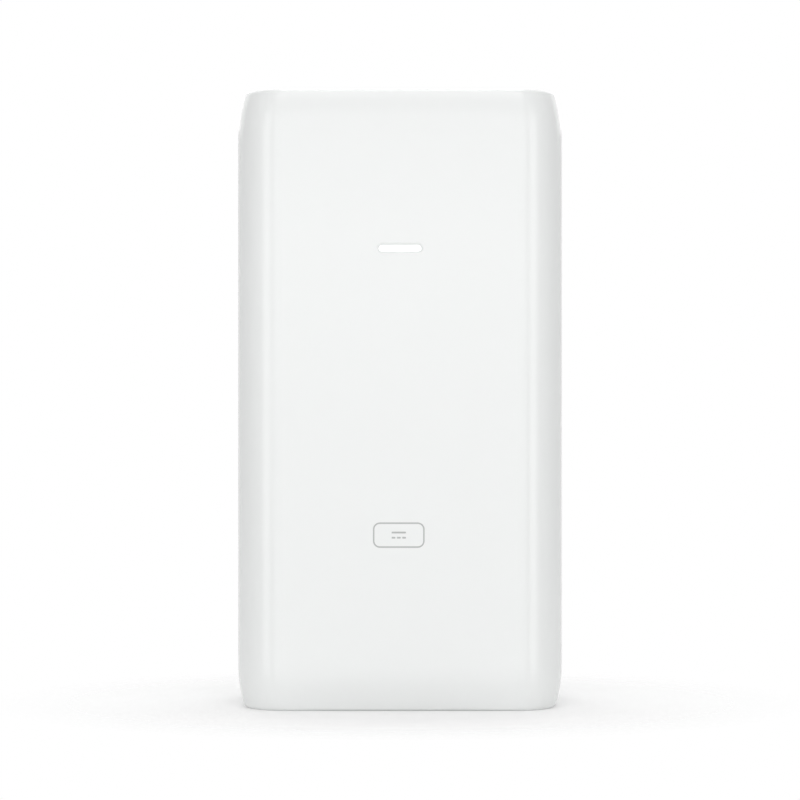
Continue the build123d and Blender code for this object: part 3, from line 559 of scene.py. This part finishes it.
# ------------------------------------------------------------------ mains inlet
# The inlet is a black moulded block with a three-lobed well. Its three nickel-plated brass pins are
# turned, with rounded ends, and are pressed in from below.
inlet_black = moulded("inlet_plastic", (0.02, 0.02, 0.021), 0.15, 2400.0, 8e-6, 0.36, 0.5)
dress(inlet_black, "inlet_housing")
pin_nickel = metal("pin_nickel", (0.70, 0.68, 0.64), 0.08, (0.1, 0.1, 1.0), 7000.0, 1.2e-6, 0.16, 0.28)
dress(pin_nickel, "inlet_pins")

# ------------------------------------------------------------------ rear shell
# The rear shell is a shallow lid of the same white ABS. It is sunk for the bracket's channel and has
# four deep counterbores for the screws.
dress(shell_white, "rear_shell")

# ------------------------------------------------------------------ port numbers on the rear shell
# A plain number above each jack tells the two apart. It is hot-stamped on the rear shell in the badge's
# silver-grey foil.
number_height = 3.0 * mm
height_in_sizes = 0.7
number_x = 12.6 * mm
number_low_z = 9.0 * mm
flag_middle = (-0.5 * mm, 2.52 * mm)
flag_length = 0.82 * mm
flag_width = 0.34 * mm
flag_slope = radians(-40)
rear_y = cad_box[1][1]
facing_back = Matrix(((-1, 0, 0, 0), (0, 0, 1, 0), (0, 1, 0, 0), (0, 0, 0, 1)))


def stamped_number(text, middle_x):
    """A flat numeral of foil on the outside of the rear shell. A 1 gets a flag at its top."""
    bpy.ops.object.select_all(action="DESELECT")
    bpy.ops.object.text_add()
    numeral = bpy.context.object
    numeral.name = f"port_number_{text}"
    numeral.data.body = text
    numeral.data.align_x = "CENTER"
    numeral.data.size = number_height / height_in_sizes
    bpy.ops.object.convert(target="MESH")
    bpy.ops.object.mode_set(mode="EDIT")
    bpy.ops.mesh.select_all(action="SELECT")
    bpy.ops.mesh.remove_doubles(threshold=0.001 * mm)
    if text == "1":
        add_bar(*flag_middle, flag_length, flag_width)
        bpy.ops.transform.rotate(value=flag_slope, orient_axis="Z", center_override=(*flag_middle, 0))
    number_place = Matrix.Translation((middle_x, rear_y - foil_sink, number_low_z)) @ facing_back
    raise_print(numeral, foil_thickness + foil_sink, number_place)
    numeral.data.materials.append(badge_foil)


stamped_number("1", -number_x)
stamped_number("2", number_x)

# ------------------------------------------------------------------ case screws
# Four zinc-plated pan-head screws with hexagonal recesses close the case from behind. They are driven
# through the rear shell into the front shell's bosses.
screw_steel = metal("screw_steel", (0.60, 0.61, 0.63), 0.15, (1.0, 0.3, 1.0), 6000.0, 2e-6, 0.22, 0.4)
dress(screw_steel, "case_screws")

# ------------------------------------------------------------------ rating label
# The label is a silver-grey foil, stuck in a shallow bed on the back. It carries only a printed frame
# and two rules, and is blank between them.
label_foil = metal("label_foil", (0.56, 0.565, 0.57), 0.03, (0.06, 1.0, 1.0), 8000.0, 1e-6, 0.45, 0.55)
dress(label_foil, "rating_label")

label_low, label_high = (Vector(corner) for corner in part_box("rating_label"))
label_middle = (label_low + label_high) / 2
label_size = label_high - label_low
frame_margin = 0.8 * mm
frame_corner = 0.6 * mm
frame_line = 0.14 * mm
rule_line = 0.12 * mm
rule_from_middle = 1.9 * mm
frame_width = label_size.x - 2 * frame_margin
frame_height = label_size.z - 2 * frame_margin
label_print = start_outline("label_print", frame_width, frame_height, frame_corner, frame_line)
for rule_y in (-rule_from_middle, rule_from_middle):
    add_bar(0, rule_y, frame_width - 2 * frame_margin, rule_line)
label_place = Matrix.Translation((label_middle.x, label_high.y - foil_sink, label_middle.z)) @ facing_back
raise_print(label_print, foil_thickness, label_place)
label_ink = moulded("label_ink", (0.16, 0.165, 0.17), 0.05, 5000.0, 1e-6, 0.45, 0.55)
label_print.data.materials.append(label_ink)

# ------------------------------------------------------------------ wall bracket
# The bracket is a separate white moulding with a finer, duller grain. It slides up a dovetail channel
# in the back, and a springy tongue at its lower end holds it there.
bracket_white = moulded("bracket_white", (0.80, 0.805, 0.80), 0.02, 2600.0, 5e-6, 0.42, 0.52)
dress(bracket_white, "wall_bracket")

# ------------------------------------------------------------------ studio
# A small round glass table, in front of plain white, is open under the object, so that the underside
# sees light too, except at the mouth of the bracket's channel. Softboxes stand in front, to the sides,
# behind and below. The two high ones leave a faint shadow at the foot.
table_radius = 200 * mm
table_drop = 0.01 * mm
opening_half = (21.45 * mm, 12.7 * mm)
opening_corner = 5.4 * mm
channel_half_width = 8.5 * mm
channel_depth_y = 11.4 * mm
rim_points = 96
bpy.ops.object.select_all(action="DESELECT")
bpy.ops.mesh.primitive_circle_add(vertices=rim_points, radius=table_radius, fill_type="NOTHING")
floor = bpy.context.object
floor.name = "floor"
bpy.ops.object.mode_set(mode="EDIT")
bpy.ops.mesh.select_all(action="DESELECT")
bpy.ops.mesh.primitive_plane_add(size=2.0)
bpy.ops.transform.resize(value=(*opening_half, 1.0))
bpy.ops.mesh.bevel(offset=opening_corner, segments=rim_points // 4 - 1, affect="VERTICES")
bpy.ops.mesh.delete(type="ONLY_FACE")
bpy.ops.mesh.select_all(action="SELECT")
bpy.ops.mesh.bridge_edge_loops()
bpy.ops.mesh.flip_normals()
channel_middle = (0, (channel_depth_y + opening_half[1]) / 2, 0)
bpy.ops.mesh.select_all(action="DESELECT")
bpy.ops.mesh.primitive_plane_add(size=1.0, location=channel_middle)
bpy.ops.transform.resize(
    value=(2 * channel_half_width, opening_half[1] - channel_depth_y, 1.0), center_override=channel_middle
)
bpy.ops.object.mode_set(mode="OBJECT")
floor.data.transform(Matrix.Translation((0, 0, -table_drop)))


def white_for_the_eye(tree):
    """A 1 for rays from the camera, from gloss and through glass, and a 0 for all others."""
    rays = tree.nodes.new("ShaderNodeLightPath")
    value = rays.outputs["Is Camera Ray"]
    for other in ("Is Glossy Ray", "Is Transmission Ray"):
        either = tree.nodes.new("ShaderNodeMath")
        either.operation = "MAXIMUM"
        tree.links.new(value, either.inputs[0])
        tree.links.new(rays.outputs[other], either.inputs[1])
        value = either.outputs["Value"]
    return value


def table_paint():
    """Glass frosted white around the object's foot, where it takes a faint shadow and throws a little
    light back up. Further out it is clear, so that what hangs below it shows, and from below it is
    clear all over."""
    lit_white = (0.9, 0.9, 0.9, 1.0)
    seen_white = (0.85, 0.85, 0.85, 1.0)
    seen_glow = 0.16
    frosted_to = 14 * mm
    clear_from = 48 * mm
    squeeze_in_width = 0.8
    foot_light = 0.19
    # The foot light starts and peaks at these shares of the way from frosted to clear.
    light_start, light_peak = 0.04, 0.36
    material = bpy.data.materials.new("table_paint")
    material.use_nodes = True
    tree = material.node_tree
    tree.nodes.remove(tree.nodes["Principled BSDF"])
    paint = tree.nodes.new("ShaderNodeBsdfDiffuse")
    paint.inputs["Color"].default_value = lit_white
    seen_paint = tree.nodes.new("ShaderNodeBsdfDiffuse")
    seen_paint.inputs["Color"].default_value = seen_white
    place = tree.nodes.new("ShaderNodeTexCoord")
    squeeze = tree.nodes.new("ShaderNodeMapping")
    squeeze.inputs["Scale"].default_value = (squeeze_in_width, 1.0, 1.0)
    reach = tree.nodes.new("ShaderNodeVectorMath")
    reach.operation = "LENGTH"
    fade = tree.nodes.new("ShaderNodeMapRange")
    fade.inputs["From Min"].default_value = frosted_to
    fade.inputs["From Max"].default_value = clear_from
    ring = tree.nodes.new("ShaderNodeValToRGB")
    ring.color_ramp.elements[0].position = light_start
    ring.color_ramp.elements[1].color = (0.0, 0.0, 0.0, 1.0)
    ring.color_ramp.elements.new(light_peak).color = (1.0, 1.0, 1.0, 1.0)
    foot_glow = tree.nodes.new("ShaderNodeEmission")
    foot_glow.inputs["Strength"].default_value = foot_light
    lit = tree.nodes.new("ShaderNodeAddShader")
    glow = tree.nodes.new("ShaderNodeEmission")
    glow.inputs["Strength"].default_value = seen_glow
    seen = tree.nodes.new("ShaderNodeAddShader")
    mix = tree.nodes.new("ShaderNodeMixShader")
    side = tree.nodes.new("ShaderNodeNewGeometry")
    clear = tree.nodes.new("ShaderNodeBsdfTransparent")
    pane = tree.nodes.new("ShaderNodeMixShader")
    one_sided = tree.nodes.new("ShaderNodeMixShader")
    tree.links.new(place.outputs["Object"], squeeze.inputs["Vector"])
    tree.links.new(squeeze.outputs["Vector"], reach.inputs[0])
    tree.links.new(reach.outputs["Value"], fade.inputs["Value"])
    tree.links.new(fade.outputs["Result"], ring.inputs["Fac"])
    tree.links.new(ring.outputs["Color"], foot_glow.inputs["Color"])
    tree.links.new(paint.outputs["BSDF"], lit.inputs[0])
    tree.links.new(foot_glow.outputs["Emission"], lit.inputs[1])
    tree.links.new(fade.outputs["Result"], pane.inputs["Fac"])
    tree.links.new(seen_paint.outputs["BSDF"], seen.inputs[0])
    tree.links.new(glow.outputs["Emission"], seen.inputs[1])
    tree.links.new(seen.outputs["Shader"], pane.inputs[1])
    tree.links.new(clear.outputs["BSDF"], pane.inputs[2])
    tree.links.new(white_for_the_eye(tree), mix.inputs["Fac"])
    tree.links.new(lit.outputs["Shader"], mix.inputs[1])
    tree.links.new(pane.outputs["Shader"], mix.inputs[2])
    tree.links.new(side.outputs["Backfacing"], one_sided.inputs["Fac"])
    tree.links.new(mix.outputs["Shader"], one_sided.inputs[1])
    tree.links.new(clear.outputs["BSDF"], one_sided.inputs[2])
    tree.links.new(one_sided.outputs["Shader"], tree.nodes["Material Output"].inputs["Surface"])
    return material


floor.data.materials.append(table_paint())

air_light = 0.275
world = bpy.data.worlds.new("studio_air")
bpy.context.scene.world = world
world.use_nodes = True
air = world.node_tree
sky = air.nodes["Background"]
sky.inputs["Color"].default_value = (1.0, 1.0, 1.0, 1.0)
strength = air.nodes.new("ShaderNodeMapRange")
strength.inputs["To Min"].default_value = air_light
strength.inputs["To Max"].default_value = 1.0
air.links.new(white_for_the_eye(air), strength.inputs["Value"])
air.links.new(strength.outputs["Result"], sky.inputs["Strength"])


def softbox(name, place, width, height, power):
    """A rectangular lamp that faces the middle of the object and isn't seen by the camera itself."""
    middle = Vector((0, 0, 43 * mm))
    data = bpy.data.lights.new(name, "AREA")
    data.shape = "RECTANGLE"
    data.size = width
    data.size_y = height
    data.energy = power
    lamp = bpy.data.objects.new(name, data)
    bpy.context.scene.collection.objects.link(lamp)
    lamp.location = place
    lamp.visible_camera = False
    lamp.rotation_euler = (middle - Vector(place)).to_track_quat("-Z", "Y").to_euler()


for side, side_name in ((-1, "left"), (1, "right")):
    softbox(f"side_{side_name}_box", (side * 0.86, -0.94, 0.10), 0.42, 1.0, 2.5)
    softbox(f"rear_{side_name}_box", (side * 0.68, 1.15, 0.70), 1.4, 1.0, 3.8)
softbox("front_box", (0, -1.27, 0.10), 1.1, 1.0, 4.0)
softbox("high_box", (0, -1.05, 1.05), 1.0, 0.5, 4.1)
softbox("top_box", (0, 0.15, 0.9), 0.4, 0.7, 2.7)
softbox("under_front_box", (0, -0.36, -0.85), 0.9, 0.9, 0.5)
softbox("under_back_box", (0, 0.36, -0.85), 0.9, 0.9, 1.5)

camera_distance = 414.25 * mm
camera_height = 43.6 * mm
camera_data = bpy.data.cameras.new("camera")
camera_data.sensor_width = 36.0
camera_data.lens = 128.7
camera = bpy.data.objects.new("camera", camera_data)
bpy.context.scene.collection.objects.link(camera)
camera.location = (0, -camera_distance, camera_height)
camera.rotation_euler = (radians(90), 0, 0)
bpy.context.scene.camera = camera
bpy.context.scene.view_settings.view_transform = "Standard"
